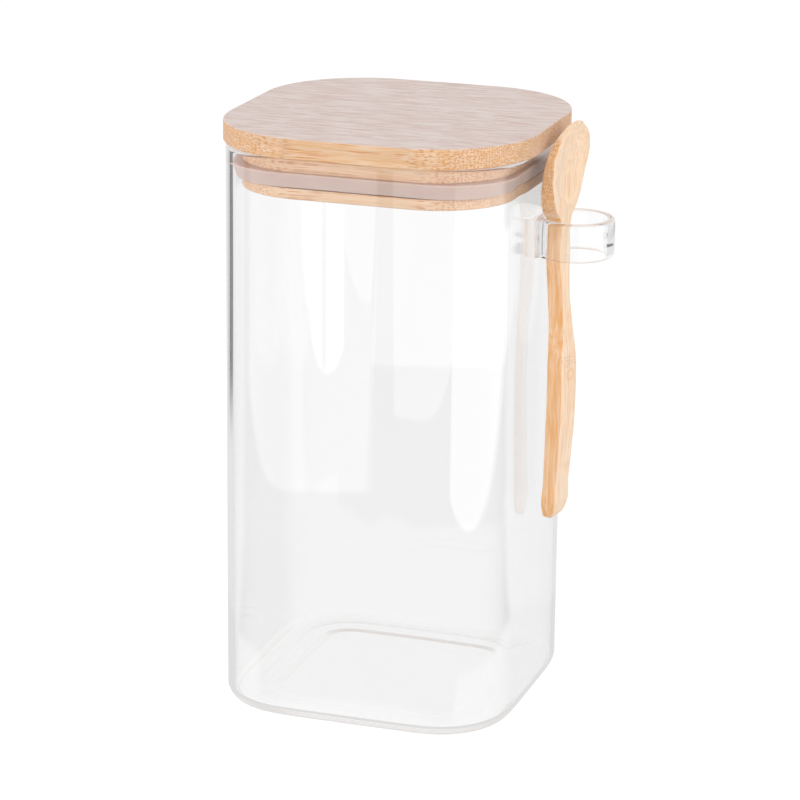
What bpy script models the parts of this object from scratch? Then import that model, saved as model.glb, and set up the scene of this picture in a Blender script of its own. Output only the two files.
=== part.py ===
"""Square glass storage canister with a bamboo lid, a silicone seal and a bamboo spoon.

Metres, +Z up. The origin is on the jar's axis, at its flat underside. The spoon hangs on the
+X side, in a glass loop that is melted onto the wall.
"""

import math

import bmesh
import bpy

# Driving dimensions, in metres

# Clearance between pieces that touch, how far a cutter runs past what it cuts, and how close
# two points are when they count as one
GAP = 0.0003
OVERRUN = 0.002
MERGE = 0.00001

# Glass jar: a square tube with round corners, closed below
JAR_SIDE = 0.100
JAR_HEIGHT = 0.1908
JAR_CORNER = 0.0253
JAR_WALL = 0.0022
JAR_BASE = 0.0030
JAR_HEEL = 0.0050
JAR_LIP_ROUND = 0.0009

# Glass loop: a short tube whose side is melted onto the jar's wall
LOOP_BORE = 0.0206
LOOP_WALL = 0.0021
LOOP_HEIGHT = 0.0129
LOOP_DROP = 0.0227
LOOP_EDGE_ROUND = 0.00095
LOOP_BARREL = 0.0004
LOOP_SKIN = 0.0005
WELD_REACH = 0.0024
WELD_SPREAD = 0.0100
WELD_RISE = 0.0011
WELD_DROP = 0.0009
WELD_TOP_CORNER = 0.0050
WELD_FOOT_CORNER = 0.0020
WELD_ROUND = 0.0010

# Lid board, and the block glued under it that goes into the jar
BOARD_OVERHANG = 0.0026
BOARD_THICKNESS = 0.0070
BOARD_CORNER = 0.0356
BOARD_EDGE_ROUND = 0.0006
BLOCK_PLAY = 0.0019
BLOCK_DEPTH = 0.0141
BLOCK_CORNER = 0.0265
BLOCK_EDGE_ROUND = 0.0005
GROOVE_FLOOR = 0.0036
GROOVE_HEIGHT = 0.0056
GROOVE_DEPTH = 0.0025

# Silicone seal: a ring in the groove, with a skirt that leans out to the glass
SEAL_TUCK = 0.0003
SEAL_EDGE_ROUND = 0.0004

# Spoon, cut from one strip of bamboo: the bowl rests on the loop and the grip hangs below
SPOON_ABOVE = 0.0315
SPOON_BELOW = 0.1032
SPOON_THICKNESS = 0.0056
SPOON_WAVE = 0.0045
BOWL_WIDTH = 0.0280
NECK_WIDTH = 0.0090
GRIP_WIDTH = 0.0122
SPOON_TURN = math.radians(8.0)
HOLLOW_LENGTH = 0.0260
HOLLOW_WIDTH = 0.0205
HOLLOW_DEPTH = 0.0013
HOLLOW_BALL = 0.0050

# Facets: steps round a corner, an edge, the loop and a curve's span
CORNER_STEPS = 12
EDGE_STEPS = 2
HEEL_STEPS = 5
LOOP_STEPS = 72
ARC_STEPS = 3
CURVE_STEPS = 6
BALL_STEPS = 40

# Derived places
jar_inside = JAR_SIDE - 2 * JAR_WALL
board_side = JAR_SIDE + 2 * BOARD_OVERHANG
board_low = JAR_HEIGHT + GAP
block_side = jar_inside - 2 * BLOCK_PLAY
block_high = board_low - GAP
block_low = board_low - BLOCK_DEPTH
groove_low = block_low + GROOVE_FLOOR
groove_high = groove_low + GROOVE_HEIGHT
groove_side = block_side - 2 * GROOVE_DEPTH
loop_top = JAR_HEIGHT - LOOP_DROP
loop_face = JAR_SIDE / 2 + GAP
loop_x = loop_face + LOOP_SKIN + LOOP_BORE / 2
loop_radius = LOOP_BORE / 2 + LOOP_WALL


def clear_scene():
    """Remove whatever the scene holds."""
    for item in list(bpy.data.objects):
        bpy.data.objects.remove(item, do_unlink=True)


def make_collection(name):
    """Add a collection to the scene."""
    group = bpy.data.collections.new(name)
    bpy.context.scene.collection.children.link(group)
    return group


def make_material(name, colour, roughness, transmission=0.0):
    """A Principled material with a plain finish."""
    material = bpy.data.materials.new(name)
    material.use_nodes = True
    shader = material.node_tree.nodes["Principled BSDF"]
    shader.inputs["Base Color"].default_value = (*colour, 1.0)
    shader.inputs["Roughness"].default_value = roughness
    shader.inputs["Metallic"].default_value = 0.0
    shader.inputs["Transmission Weight"].default_value = transmission
    material.diffuse_color = (*colour, 1.0)
    return material


def add_object(name, mesh, group, material=None):
    """Link a mesh as an object, and give it a finish."""
    item = bpy.data.objects.new(name, mesh)
    group.objects.link(item)
    if material:
        mesh.materials.append(material)
    return item


def make_cutter(item):
    """Mark an object as a cutter, which isn't a piece."""
    item.hide_render = True
    item.display_type = "WIRE"
    return item


def move_to(item, group):
    """Take an object out of its collections and put it in one."""
    for owner in list(item.users_collection):
        owner.objects.unlink(item)
    group.objects.link(item)


def shade_round(mesh, angle_degrees=35):
    """Smooth shading, with the sharp edges kept."""
    mesh.shade_smooth()
    mesh.set_sharp_from_angle(angle=math.radians(angle_degrees))


def rounded_block(name, group, low, high, side_low, side_high, corner, low_round=0, high_round=0,
                  round_steps=EDGE_STEPS, open_top=False, material=None):
    """A square block on the Z axis with round upright corners and round rims."""
    shape = bmesh.new()
    bmesh.ops.create_cube(shape, size=1)
    for vert in shape.verts:
        side = side_high if vert.co.z > 0 else side_low
        vert.co.x *= side
        vert.co.y *= side
        vert.co.z = high if vert.co.z > 0 else low
    middle = (low + high) / 2
    upright = [edge for edge in shape.edges
               if (edge.verts[0].co.z > middle) != (edge.verts[1].co.z > middle)]
    bmesh.ops.bevel(shape, geom=upright, offset=corner, offset_type="OFFSET",
                    segments=CORNER_STEPS, profile=0.5, affect="EDGES")
    for is_high, radius in ((False, low_round), (True, high_round)):
        if radius:
            rim = [edge for edge in shape.edges
                   if all((vert.co.z > middle) == is_high for vert in edge.verts)]
            bmesh.ops.bevel(shape, geom=rim, offset=radius, offset_type="OFFSET",
                            segments=round_steps, profile=0.5, affect="EDGES")
    if open_top:
        lid = [face for face in shape.faces if all(vert.co.z > middle for vert in face.verts)]
        bmesh.ops.delete(shape, geom=lid, context="FACES")
    mesh = bpy.data.meshes.new(name)
    shape.to_mesh(mesh)
    shape.free()
    shade_round(mesh)
    return add_object(name, mesh, group, material)


def add_boolean(item, cutter, operation):
    """A live exact Boolean."""
    modifier = item.modifiers.new(operation.title(), "BOOLEAN")
    modifier.operation = operation
    modifier.object = cutter
    modifier.solver = "EXACT"
    return modifier


def make_jar(pieces, material):
    """The jar: an open rounded box with its wall turned inwards and its lip fire-polished."""
    jar = rounded_block("glass_jar", pieces, 0, JAR_HEIGHT, JAR_SIDE, JAR_SIDE, JAR_CORNER,
                        low_round=JAR_HEEL, round_steps=HEEL_STEPS, open_top=True, material=material)
    wall_share = JAR_WALL / JAR_BASE
    thickness = jar.vertex_groups.new(name="thickness")
    for vert in jar.data.vertices:
        rise = min(vert.co.z / JAR_HEEL, 1)
        thickness.add([vert.index], 1 + (wall_share - 1) * rise, "REPLACE")
    shell = jar.modifiers.new("Wall", "SOLIDIFY")
    shell.thickness = JAR_BASE
    shell.offset = -1
    shell.use_even_offset = True
    shell.vertex_group = thickness.name
    lip = jar.modifiers.new("Lip", "BEVEL")
    lip.width = JAR_LIP_ROUND
    lip.segments = ARC_STEPS
    lip.limit_method = "ANGLE"
    lip.angle_limit = math.radians(60)
    return jar


def loop_profile():
    """Section of the loop's wall: down the outer side, up the bore, with round edges."""
    inner = LOOP_BORE / 2
    outer = inner + LOOP_WALL
    edge = LOOP_EDGE_ROUND
    corners = (
        (outer - edge, LOOP_HEIGHT - edge, 90),
        (outer - edge, edge, 0),
        (inner + edge, edge, -90),
        (inner + edge, LOOP_HEIGHT - edge, -180),
    )
    points = []
    for number, (across, up, start) in enumerate(corners):
        for step in range(ARC_STEPS + 1):
            angle = math.radians(start - 90 * step / ARC_STEPS)
            points.append((across + edge * math.cos(angle), up + edge * math.sin(angle)))
        if number == 0:
            points.append((outer + LOOP_BARREL, LOOP_HEIGHT / 2))
    return points


def make_weld(cutters):
    """The melted glass between the loop and the wall: a rounded pad that spreads on the wall."""
    weld_back = JAR_SIDE / 2 - OVERRUN
    weld_front = loop_face + WELD_REACH
    foot_half = math.sqrt(loop_radius ** 2 - (loop_x - loop_face) ** 2) + WELD_SPREAD
    root_half = math.sqrt(loop_radius ** 2 - (loop_x - weld_front) ** 2)
    back_half = foot_half + (foot_half - root_half) * (loop_face - weld_back) / WELD_REACH
    middle = loop_top - LOOP_HEIGHT / 2
    shape = bmesh.new()
    bmesh.ops.create_cube(shape, size=1)
    for vert in shape.verts:
        vert.co.x = weld_front if vert.co.x > 0 else weld_back
        vert.co.y *= 2 * root_half
        vert.co.z = loop_top + WELD_RISE if vert.co.z > 0 else loop_top - LOOP_HEIGHT - WELD_DROP
    for is_high, radius in ((False, WELD_FOOT_CORNER), (True, WELD_TOP_CORNER)):
        corners = [edge for edge in shape.edges
                   if (edge.verts[0].co.x > loop_face) != (edge.verts[1].co.x > loop_face)
                   and (edge.verts[0].co.z > middle) == is_high]
        bmesh.ops.bevel(shape, geom=corners, offset=radius, offset_type="OFFSET",
                        segments=HEEL_STEPS, profile=0.5, affect="EDGES")
    front = [edge for edge in shape.edges if all(vert.co.x > loop_face for vert in edge.verts)]
    bmesh.ops.bevel(shape, geom=front, offset=WELD_ROUND, offset_type="OFFSET",
                    segments=EDGE_STEPS, profile=0.5, affect="EDGES")
    for vert in shape.verts:
        if vert.co.x < loop_face:
            vert.co.y *= back_half / root_half
    mesh = bpy.data.meshes.new("weld")
    shape.to_mesh(mesh)
    shape.free()
    weld = make_cutter(add_object("weld", mesh, cutters))
    bpy.ops.mesh.primitive_cylinder_add(vertices=LOOP_STEPS, radius=(LOOP_BORE + LOOP_WALL) / 2,
                                        depth=2 * LOOP_HEIGHT, location=(loop_x, 0, middle))
    bore = make_cutter(bpy.context.active_object)
    bore.name = "weld_bore"
    move_to(bore, cutters)
    add_boolean(weld, bore, "DIFFERENCE")
    return weld


def make_loop(pieces, cutters, material):
    """The loop: a turned tube, its weld to the wall, and the face where it meets the jar."""
    points = loop_profile()
    mesh = bpy.data.meshes.new("glass_loop")
    edges = [(number, (number + 1) % len(points)) for number in range(len(points))]
    mesh.from_pydata([(across, 0, up) for across, up in points], edges, [])
    loop = add_object("glass_loop", mesh, pieces, material)
    loop.location = (loop_x, 0, loop_top - LOOP_HEIGHT)
    turn = loop.modifiers.new("Turn", "SCREW")
    turn.angle = 2 * math.pi
    turn.steps = LOOP_STEPS
    turn.render_steps = LOOP_STEPS
    turn.use_merge_vertices = True
    turn.merge_threshold = MERGE
    turn.use_smooth_shade = True
    wall = make_cutter(rounded_block("wall_cutter", cutters, -OVERRUN, JAR_HEIGHT, 2 * loop_face,
                                     2 * loop_face, JAR_CORNER))
    add_boolean(loop, make_weld(cutters), "UNION")
    add_boolean(loop, wall, "DIFFERENCE")
    return loop


def make_lid(pieces, cutters, wood, wood_under, silicone):
    """The lid: a board, the block under it with its groove, and the seal in the groove."""
    board = rounded_block("lid_board", pieces, board_low, board_low + BOARD_THICKNESS, board_side,
                          board_side, BOARD_CORNER, BOARD_EDGE_ROUND, BOARD_EDGE_ROUND,
                          material=wood)
    block = rounded_block("lid_block", pieces, block_low, block_high, block_side, block_side,
                          BLOCK_CORNER, BLOCK_EDGE_ROUND, material=wood_under)
    groove = rounded_block("groove_outside", cutters, groove_low, groove_high,
                           block_side + OVERRUN, block_side + OVERRUN, BLOCK_CORNER)
    core = rounded_block("groove_core", cutters, groove_low - OVERRUN, groove_high + OVERRUN,
                         groove_side, groove_side, BLOCK_CORNER - GROOVE_DEPTH)
    make_cutter(groove)
    make_cutter(core)
    add_boolean(groove, core, "DIFFERENCE")
    add_boolean(block, groove, "DIFFERENCE")

    seal_corner = JAR_CORNER - JAR_WALL - GAP
    seal = rounded_block("lid_seal", pieces, groove_low + GAP, groove_high - GAP,
                         block_side + 2 * SEAL_TUCK, jar_inside - 2 * GAP, seal_corner,
                         SEAL_EDGE_ROUND, SEAL_EDGE_ROUND, material=silicone)
    hole = rounded_block("seal_hole", cutters, groove_low - OVERRUN, groove_high + OVERRUN,
                         groove_side + 2 * GAP, groove_side + 2 * GAP,
                         BLOCK_CORNER - GROOVE_DEPTH + GAP)
    make_cutter(hole)
    add_boolean(seal, hole, "DIFFERENCE")
    return board, block, seal


def spoon_stations():
    """Height over the seat, centre line, thickness and width, from the tip down."""
    up = SPOON_ABOVE
    down = SPOON_BELOW
    neck = math.sqrt((LOOP_BORE / 2 - GAP) ** 2 - (NECK_WIDTH / 2) ** 2)
    line = SPOON_THICKNESS / 2 - neck
    wave = SPOON_WAVE
    thick = SPOON_THICKNESS
    rim = LOOP_EDGE_ROUND
    return (
        (1.00 * up, line + 1.00 * wave, 0.10 * thick, 0),
        (0.92 * up, line + 0.93 * wave, 0.16 * thick, 0.50 * BOWL_WIDTH),
        (0.80 * up, line + 0.82 * wave, 0.31 * thick, 0.85 * BOWL_WIDTH),
        (0.64 * up, line + 0.62 * wave, 0.51 * thick, 1.00 * BOWL_WIDTH),
        (0.38 * up, line + 0.27 * wave, 0.78 * thick, 0.89 * BOWL_WIDTH),
        (0.16 * up, line + 0.09 * wave, 0.94 * thick, 0.70 * BOWL_WIDTH),
        (0.05 * up, line + 0.02 * wave, 1.00 * thick, 0.51 * BOWL_WIDTH),
        (-rim, line + 0.00 * wave, 1.00 * thick, 1.00 * NECK_WIDTH),
        (-0.13 * down, line + 0.00 * wave, 0.95 * thick, 0.92 * NECK_WIDTH),
        (-0.26 * down, line + 0.13 * wave, 1.00 * thick, 0.51 * GRIP_WIDTH),
        (-0.36 * down, line + 0.33 * wave, 1.00 * thick, 0.62 * GRIP_WIDTH),
        (-0.47 * down, line + 0.49 * wave, 0.97 * thick, 0.95 * GRIP_WIDTH),
        (-0.58 * down, line + 0.52 * wave, 0.98 * thick, 1.00 * GRIP_WIDTH),
        (-0.73 * down, line + 0.43 * wave, 0.98 * thick, 0.95 * GRIP_WIDTH),
        (-0.87 * down, line + 0.26 * wave, 0.87 * thick, 0.89 * GRIP_WIDTH),
        (-0.98 * down, line + 0.12 * wave, 0.76 * thick, 0.80 * GRIP_WIDTH),
        (-1.00 * down, line + 0.07 * wave, 0.66 * thick, 0.55 * GRIP_WIDTH),
    )


def outline_mesh(name, points, depth):
    """A closed smooth outline in its own XY plane, made a solid of the given depth."""
    curve = bpy.data.curves.new(name, "CURVE")
    curve.dimensions = "2D"
    curve.fill_mode = "BOTH"
    curve.extrude = depth / 2
    curve.resolution_u = CURVE_STEPS
    spline = curve.splines.new("BEZIER")
    spline.bezier_points.add(len(points) - 1)
    for knot, (across, up) in zip(spline.bezier_points, points):
        knot.co = (across, up, 0)
        knot.handle_left_type = "AUTO"
        knot.handle_right_type = "AUTO"
    spline.use_cyclic_u = True
    guide = bpy.data.objects.new(name, curve)
    bpy.context.scene.collection.objects.link(guide)
    bpy.context.view_layer.update()
    state = bpy.context.evaluated_depsgraph_get()
    mesh = bpy.data.meshes.new_from_object(guide.evaluated_get(state))
    bpy.data.objects.remove(guide, do_unlink=True)
    shape = bmesh.new()
    shape.from_mesh(mesh)
    bmesh.ops.remove_doubles(shape, verts=shape.verts, dist=MERGE)
    bmesh.ops.recalc_face_normals(shape, faces=shape.faces)
    shape.to_mesh(mesh)
    shape.free()
    return mesh


def make_spoon(pieces, cutters, material):
    """The spoon: its outline cut from its waved side profile, with the bowl's hollow."""
    stations = spoon_stations()
    seat = bpy.data.objects.new("spoon_seat", None)
    pieces.objects.link(seat)
    seat.location = (loop_x, 0, loop_top)
    seat.rotation_euler = (0, 0, -SPOON_TURN)

    right = [(width / 2, up) for up, line, thick, width in stations]
    left = [(-width / 2, up) for up, line, thick, width in reversed(stations[1:])]
    plan = outline_mesh("spoon", right + left, 2 * BOWL_WIDTH)
    spoon = add_object("spoon", plan, pieces, material)
    spoon.parent = seat
    spoon.rotation_euler = (math.pi / 2, 0, math.pi / 2)

    front = [(line + thick / 2, up) for up, line, thick, width in stations]
    back = [(line - thick / 2, up) for up, line, thick, width in reversed(stations)]
    side = make_cutter(add_object("spoon_side", outline_mesh("spoon_side", front + back,
                                                             2 * BOWL_WIDTH), cutters))
    side.parent = seat
    side.rotation_euler = (math.pi / 2, 0, 0)
    add_boolean(spoon, side, "INTERSECT")

    centre_up = 0.50 * SPOON_ABOVE
    face = stations[3][1] + stations[3][2] / 2
    share = math.sqrt(1 - ((HOLLOW_BALL - HOLLOW_DEPTH) / HOLLOW_BALL) ** 2)
    bpy.ops.mesh.primitive_uv_sphere_add(segments=BALL_STEPS, ring_count=BALL_STEPS // 2, radius=1)
    ball = make_cutter(bpy.context.active_object)
    ball.name = "spoon_hollow"
    move_to(ball, cutters)
    ball.parent = seat
    ball.location = (face - HOLLOW_DEPTH + HOLLOW_BALL, 0, centre_up)
    ball.scale = (HOLLOW_BALL, HOLLOW_WIDTH / 2 / share, HOLLOW_LENGTH / 2 / share)
    add_boolean(spoon, ball, "DIFFERENCE")
    return spoon


def main():
    """Build every piece."""
    clear_scene()
    pieces = make_collection("glass_storage_canister")
    cutters = make_collection("cutters")
    glass = make_material("borosilicate_glass", (0.86, 0.90, 0.90), 0.02, 1.0)
    loop_glass = make_material("loop_glass", (0.82, 0.88, 0.87), 0.03, 1.0)
    board_wood = make_material("bamboo_board", (0.72, 0.58, 0.44), 0.55)
    block_wood = make_material("bamboo_block", (0.70, 0.48, 0.28), 0.60)
    silicone = make_material("silicone", (0.70, 0.60, 0.54), 0.45)
    spoon_wood = make_material("bamboo_spoon", (0.82, 0.55, 0.30), 0.50)
    make_jar(pieces, glass)
    make_loop(pieces, cutters, loop_glass)
    make_lid(pieces, cutters, board_wood, block_wood, silicone)
    make_spoon(pieces, cutters, spoon_wood)
    bpy.context.view_layer.update()


main()
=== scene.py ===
# %% [markdown]
# # A square glass canister with a bamboo lid and a spoon
#
# The canister is a glass jar with round corners, blown into a mould. Its lid is a bamboo board with
# a smaller bamboo block glued under it, and a silicone ring in a groove round the block seals
# against the glass. A short glass tube is melted onto the right wall, and a bamboo spoon hangs in
# it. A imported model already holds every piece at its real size, and this script dresses those
# pieces: it makes a fine surface for each one, gives it a finish, and lights a small studio.

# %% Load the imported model
import math

import bmesh
import bpy
import numpy as np
from mathutils import Matrix, Vector


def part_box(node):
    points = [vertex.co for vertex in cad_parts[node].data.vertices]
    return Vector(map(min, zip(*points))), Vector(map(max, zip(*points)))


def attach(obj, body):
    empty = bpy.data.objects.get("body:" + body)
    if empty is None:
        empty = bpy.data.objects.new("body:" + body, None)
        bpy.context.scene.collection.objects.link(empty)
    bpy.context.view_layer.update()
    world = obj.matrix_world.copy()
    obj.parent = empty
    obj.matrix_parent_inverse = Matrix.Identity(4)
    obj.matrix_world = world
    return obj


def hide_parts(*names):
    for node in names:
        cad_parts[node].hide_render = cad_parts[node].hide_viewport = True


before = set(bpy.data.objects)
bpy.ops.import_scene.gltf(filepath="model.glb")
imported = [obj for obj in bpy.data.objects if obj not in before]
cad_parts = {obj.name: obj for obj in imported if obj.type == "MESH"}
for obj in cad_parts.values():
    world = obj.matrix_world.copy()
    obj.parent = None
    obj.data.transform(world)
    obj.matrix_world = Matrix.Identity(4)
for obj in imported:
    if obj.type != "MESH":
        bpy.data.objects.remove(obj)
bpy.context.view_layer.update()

print("pieces in the packed model:", ", ".join(sorted(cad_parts)))

# %% [markdown]
# ## The camera
#
# Everything that follows is judged through the camera, so it comes first. The photograph was taken
# from about a metre away with a long lens, a little to the right and above, and the jar's own edges
# fix the view: upright edges give the pitch, the lid's two sides give the turn, and the sizes give
# the distance. A camera could also be aimed with a Track To constraint, but three plain turns
# say exactly where it looks, and the last one is the small lean of the hand that held it.

# %% Camera
CAMERA_PLACE = (0.3358, -1.0047, 0.4177)
CAMERA_TURN = math.radians(18.4115)
CAMERA_PITCH = math.radians(16.724)
CAMERA_ROLL = math.radians(0.608)
LENS_MM = 148.02
SENSOR_MM = 36.0

lens = bpy.data.cameras.new("camera")
lens.lens = LENS_MM
lens.sensor_width = SENSOR_MM
camera = bpy.data.objects.new("camera", lens)
bpy.context.scene.collection.objects.link(camera)
aim = (Matrix.Rotation(CAMERA_TURN, 4, "Z") @ Matrix.Rotation(math.pi / 2 - CAMERA_PITCH, 4, "X")
       @ Matrix.Rotation(CAMERA_ROLL, 4, "Z"))
camera.matrix_world = Matrix.Translation(CAMERA_PLACE) @ aim
bpy.context.scene.camera = camera
print("camera distance from the jar's axis:", round(math.hypot(*CAMERA_PLACE[:2]), 3), "m")

# %% [markdown]
# ## Colours and nodes
#
# A colour picked on screen is an sRGB value, and a shader works with linear light, so one function
# turns the hex codes. A second small function adds any node, sets its properties and its sockets,
# and links it. A value for a socket is either a number or another node, whose first output it takes.
# The kinds of node that come again and again get a short name.

# %% Colour and node helpers
MATH = "ShaderNodeMath"
VECTOR = "ShaderNodeVectorMath"
SPLIT = "ShaderNodeSeparateXYZ"
MIX = "ShaderNodeMix"
RANGE = "ShaderNodeMapRange"
NOISE = "ShaderNodeTexNoise"
COORDINATES = "ShaderNodeTexCoord"
POSITION = "GeometryNodeInputPosition"

def linear(code):
    """A hex colour as linear red, green, blue and alpha."""
    shares = [int(code[start:start + 2], 16) / 255 for start in (1, 3, 5)]
    return [share / 12.92 if share <= 0.04045 else ((share + 0.055) / 1.055) ** 2.4
            for share in shares] + [1.0]


def add_node(tree, kind, values=(), **settings):
    """Add a node and set its properties, then give its sockets numbers or links.

    A dict names the sockets. A row fills, in order, the sockets that the settings leave switched on.
    """
    node = tree.nodes.new(kind)
    for name, value in settings.items():
        setattr(node, name, value)
    sockets = [socket for socket in node.inputs if socket.enabled]
    if isinstance(values, dict):
        sockets = [next(socket for socket in sockets if socket.name == name) for name in values]
        values = values.values()
    for socket, value in zip(sockets, values):
        if isinstance(value, bpy.types.Node):
            value = next(output for output in value.outputs if output.enabled)
        if isinstance(value, bpy.types.NodeSocket):
            tree.links.new(value, socket)
        else:
            socket.default_value = value
    return node


def new_material(name):
    """An empty material with its node tree."""
    material = bpy.data.materials.new(name)
    material.use_nodes = True
    material.node_tree.nodes.clear()
    return material, material.node_tree


print("mid grey as linear light:", round(linear("#808080")[0], 3))

# %% [markdown]
# ## The studio
#
# Clear glass has no colour of its own: it shows the room. A product photographer stands it on white
# paper that runs up behind it, with tall softboxes in front at both sides, and works in a
# darker room. Straight through the glass the camera sees only white paper. A ray that the glass
# throws back sees the room instead, and a front wall throws it forwards and down: onto the grey
# part of the table by the camera, or onto a softbox that stands there. That is what makes a
# glass jar a shade greyer than its background, with pale upright bands. So the floor shows white
# to a ray that was never reflected, and a plan of that studio to one that was.
#
# The plan is drawn from above, round the jar's foot. Turns are degrees round the jar, with zero to
# the front and 90 to the right. Besides the softboxes it has the pale paper close to the jar, a dark
# side behind at the left, where no lamp stands, and a dark strip far behind at the right. These two
# give the thin dark lines at the edges of the walls, without which clear glass has no outline.

# %% A plan of the studio
# Levels are shares of white, turns are in degrees, and all else is in metres.
TABLE_LEVEL = 0.18
TABLE_TURNS = (-75.0, 122.0)
TABLE_BLUR = 6.0
BACK_LEVEL = 0.80

VIEW_SLOPE = 0.334       # the camera's sideways run for each step forwards
FRONT_WALL = -0.05       # the front wall's place, where that slope starts
GAP_LEFT = 0.0048        # the table shows between these two places across the view
GAP_RIGHT = 0.0211
SOFTBOXES = (
    {"level": 1.10, "facing": -18.5, "distance": 0.295, "turns": (-68.0, 60.0),
     "along": (None, GAP_LEFT)},
    {"level": 0.95, "facing": -8.0, "distance": 0.40, "turns": (-60.0, 30.0),
     "along": (GAP_RIGHT, None)},
    {"level": 1.70, "facing": 60.0, "distance": 0.265, "turns": (30.0, 120.0),
     "along": (None, None)})
EDGE_BLUR = 0.010
TURN_BLUR = 3.0
GAP_BLUR = 0.0012

FAR_LEVEL = 0.14
FAR_SIDE = 112.0
FAR_PART = (0.725, 0.86)
FAR_BLUR = 0.03
SIDE_BLUR = 8.0

DARK_LEVEL = 0.10
DARK_SIDE = (-126.5, -113.5)
DARK_BLUR = 4.0
DARK_FROM = 0.36
DARK_FADE = 0.15

NEAR_LEVEL = 0.75
NEAR_JAR = 0.072
NEAR_SIDES = 0.115
SIDES_FROM = 40.0
NEAR_BLUR = 0.010

def between(tree, value, low, high, blur):
    """A mask of one between two limits, with soft edges. None stands for no limit."""
    mask = 1.0
    # The falling edge is the same step with its two ends the other way round.
    for limit, half in ((low, blur / 2), (high, -blur / 2)):
        if limit is not None:
            edge = add_node(tree, RANGE, (value, limit - half, limit + half),
                            interpolation_type="SMOOTHSTEP")
            mask = add_node(tree, MATH, (mask, edge), operation="MULTIPLY")
    return mask


def lay_over(tree, level, part, *masks):
    """A level with another one laid over it where all the masks are one."""
    share = masks[0]
    for mask in masks[1:]:
        share = add_node(tree, MATH, (share, mask), operation="MULTIPLY")
    return add_node(tree, MIX, (share, level, part))


def studio_level(tree, place):
    """How bright the studio looks at a place on the floor."""
    x, y, z = add_node(tree, SPLIT, (place,)).outputs
    ahead = add_node(tree, MATH, (y, -1.0), operation="MULTIPLY")
    turn = add_node(tree, MATH, (x, ahead), operation="ARCTAN2")
    turn = add_node(tree, MATH, (turn,), operation="DEGREES")
    distance = add_node(tree, VECTOR, (place,), operation="LENGTH")
    along = add_node(tree, MATH, (ahead, VIEW_SLOPE, x), operation="MULTIPLY_ADD")
    along = add_node(tree, MATH, (along, FRONT_WALL * VIEW_SLOPE), operation="ADD")
    table = between(tree, turn, *TABLE_TURNS, TABLE_BLUR)
    level = add_node(tree, MIX, (table, BACK_LEVEL, TABLE_LEVEL))
    for box in SOFTBOXES:
        facing = math.radians(box["facing"])
        reach = add_node(tree, MATH, (ahead, math.cos(facing)), operation="MULTIPLY")
        reach = add_node(tree, MATH, (x, math.sin(facing), reach), operation="MULTIPLY_ADD")
        level = lay_over(tree, level, box["level"],
                         between(tree, reach, box["distance"], None, EDGE_BLUR),
                         between(tree, turn, *box["turns"], TURN_BLUR),
                         between(tree, along, *box["along"], GAP_BLUR))
    level = lay_over(tree, level, FAR_LEVEL, between(tree, turn, FAR_SIDE, None, SIDE_BLUR),
                     between(tree, distance, *FAR_PART, FAR_BLUR))
    level = lay_over(tree, level, DARK_LEVEL, between(tree, turn, *DARK_SIDE, DARK_BLUR),
                     between(tree, distance, DARK_FROM, None, DARK_FADE))
    to_side = add_node(tree, MATH, (turn,), operation="ABSOLUTE")
    sides = between(tree, to_side, SIDES_FROM, None, SIDE_BLUR)
    near = add_node(tree, MIX, (sides, NEAR_JAR, NEAR_SIDES))
    past = add_node(tree, MATH, (distance, near), operation="SUBTRACT")
    past = add_node(tree, RANGE, (past, -NEAR_BLUR / 2, NEAR_BLUR / 2))
    return add_node(tree, MIX, (past, NEAR_LEVEL, level))


def seen_rays(tree):
    """Two masks: a ray with no matt bounce on its way, and one that was also reflected."""
    path = add_node(tree, "ShaderNodeLightPath").outputs
    seen = add_node(tree, MATH, (path["Is Camera Ray"], path["Is Glossy Ray"]), operation="ADD")
    seen = add_node(tree, MATH, (seen, path["Is Transmission Ray"]), operation="ADD",
                    use_clamp=True)
    straight = add_node(tree, MATH, (path["Diffuse Depth"], 0.5), operation="LESS_THAN")
    seen = add_node(tree, MATH, (seen, straight), operation="MULTIPLY")
    thrown = add_node(tree, MATH, (path["Glossy Depth"], 0.5), operation="GREATER_THAN")
    return seen, thrown


print("softboxes in the plan:", len(SOFTBOXES), "at", [box["distance"] for box in SOFTBOXES], "m")

# %% [markdown]
# ## The paper and the world
#
# The floor is matt white paper. To the camera it shines by itself, just under full white, and adds a
# darker matt share on top, so that the object's shadow still falls on it. To a ray that comes from
# a matt surface it is plain white paper, which throws light up under the lid. The world does the same:
# white where it is seen, and a little dimmer as a light.

# %% Floor and world
FLOOR_SIZE = 30.0
FLOOR_GAP = 0.0002
FLOOR_GLOW = 0.93
PAPER_WHITE = linear("#F2F2F2")
PAPER_SHADE = linear("#666666")
BLACK = linear("#000000")
WHITE = linear("#FFFFFF")
ROOM_LIGHT = 0.64

floor_paint, tree = new_material("matt_white_paper")
place = add_node(tree, COORDINATES).outputs["Object"]
seen, thrown = seen_rays(tree)
glow = add_node(tree, MIX, (thrown, FLOOR_GLOW, studio_level(tree, place)))
glow = add_node(tree, MATH, (glow, seen), operation="MULTIPLY")
paper = add_node(tree, MIX, (seen, PAPER_WHITE, PAPER_SHADE), data_type="RGBA")
paper = add_node(tree, MIX, (thrown, paper, BLACK), data_type="RGBA")
matt = add_node(tree, "ShaderNodeBsdfDiffuse", {"Color": paper})
glow = add_node(tree, "ShaderNodeEmission", {"Color": WHITE, "Strength": glow})
both = add_node(tree, "ShaderNodeAddShader", (matt, glow))
add_node(tree, "ShaderNodeOutputMaterial", {"Surface": both})
floor_paint.cycles.emission_sampling = "NONE"

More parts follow.
